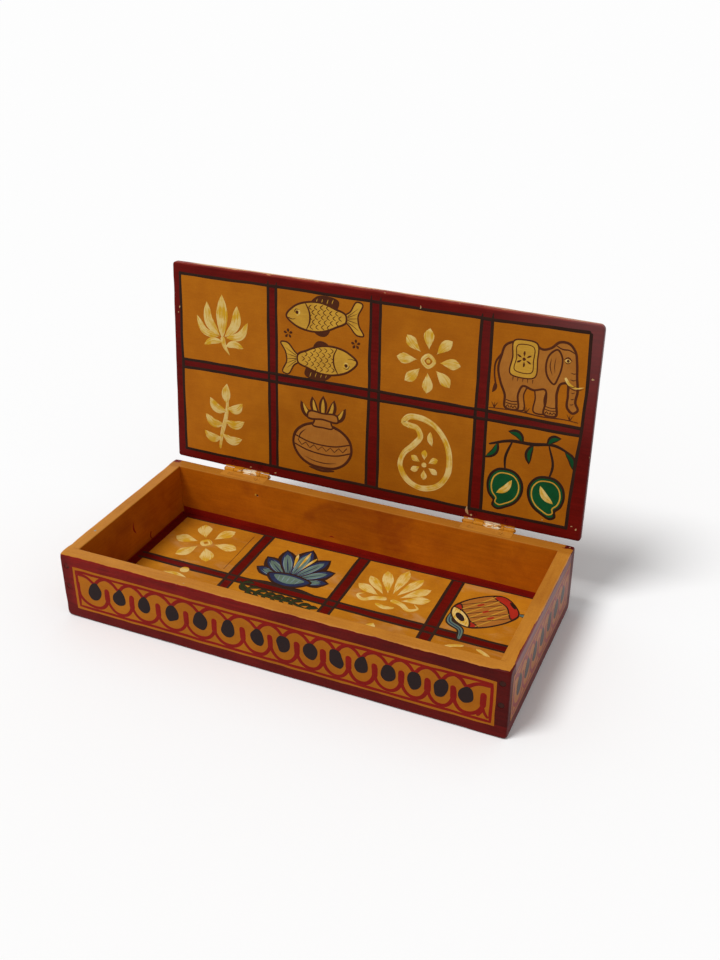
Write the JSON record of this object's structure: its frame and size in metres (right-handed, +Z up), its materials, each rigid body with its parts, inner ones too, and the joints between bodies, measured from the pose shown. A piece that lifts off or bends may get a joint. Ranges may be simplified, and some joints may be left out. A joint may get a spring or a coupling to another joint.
{
  "type": "painted wooden box with hinged lid",
  "caption": "Shallow rectangular wooden keepsake box with a flat hinged lid, painted in red and ochre panels with traditional motifs and scroll borders.",
  "frame": {"origin": "middle of the base board's underside, on the surface that the box stands on", "axes": "+X along the box's length towards its right-hand end as seen from the front, +Y from the front towards the hinged back, +Z up"},
  "size_m": [0.3065, 0.1631, 0.1971],
  "materials": {
    "base_board": "hand-painted: deep red outside, ochre panels divided by red bands inside",
    "front_wall": "hand-painted deep red with a thin ochre line frame and a scroll border, satin varnish",
    "back_wall": "hand-painted deep red outside with a scroll border, streaky orange inside, ochre rim, satin varnish",
    "left_end": "hand-painted deep red outside with a scroll border, orange inside, ochre rim, satin varnish",
    "right_end": "hand-painted deep red outside with a scroll border, orange inside, ochre rim, satin varnish",
    "lid_board": "hand-painted: ochre panels with red bands and motifs inside, deep red outside and edges",
    "painted_hinge": "brass painted over with the board that it is screwed to, rubbed through to pale primer in the middle of the knuckles",
    "hinge_pin": "worn brass",
    "hinge_screw": "worn brass, slotted",
    "wire_nail": "dark iron, painted over at the head"
  },
  "bodies": {
    "box": {"base_board": "base_board", "front_wall": "front_wall", "back_wall": "back_wall", "left_end": "left_end", "right_end": "right_end", "left_hinge_box_leaf": "painted_hinge", "left_hinge_pin": "hinge_pin", "left_hinge_box_screw_1": "hinge_screw", "left_hinge_box_screw_2": "hinge_screw", "right_hinge_box_leaf": "painted_hinge", "right_hinge_pin": "hinge_pin", "right_hinge_box_screw_1": "hinge_screw", "right_hinge_box_screw_2": "hinge_screw", "front_left_corner_nail_1": "wire_nail", "front_left_corner_nail_2": "wire_nail", "front_right_corner_nail_1": "wire_nail", "front_right_corner_nail_2": "wire_nail", "front_base_nail_1": "wire_nail", "front_base_nail_2": "wire_nail", "front_base_nail_3": "wire_nail", "front_base_nail_4": "wire_nail", "back_left_corner_nail_1": "wire_nail", "back_left_corner_nail_2": "wire_nail", "back_right_corner_nail_1": "wire_nail", "back_right_corner_nail_2": "wire_nail", "back_base_nail_1": "wire_nail", "back_base_nail_2": "wire_nail", "back_base_nail_3": "wire_nail", "back_base_nail_4": "wire_nail", "left_base_nail_1": "wire_nail", "left_base_nail_2": "wire_nail", "right_base_nail_1": "wire_nail", "right_base_nail_2": "wire_nail"},
    "lid": {"lid_board": "lid_board", "left_hinge_lid_leaf": "painted_hinge", "left_hinge_lid_screw_1": "hinge_screw", "left_hinge_lid_screw_2": "hinge_screw", "right_hinge_lid_leaf": "painted_hinge", "right_hinge_lid_screw_1": "hinge_screw", "right_hinge_lid_screw_2": "hinge_screw"}
  },
  "joints": [
    {"name": "lid_hinge", "type": "hinge", "parent": "box", "child": "lid", "pos_m": [0, 0.0729, 0.0488], "axis": [-1, 0, 0], "range_deg": [-95.2, 84.8]}
  ]
}
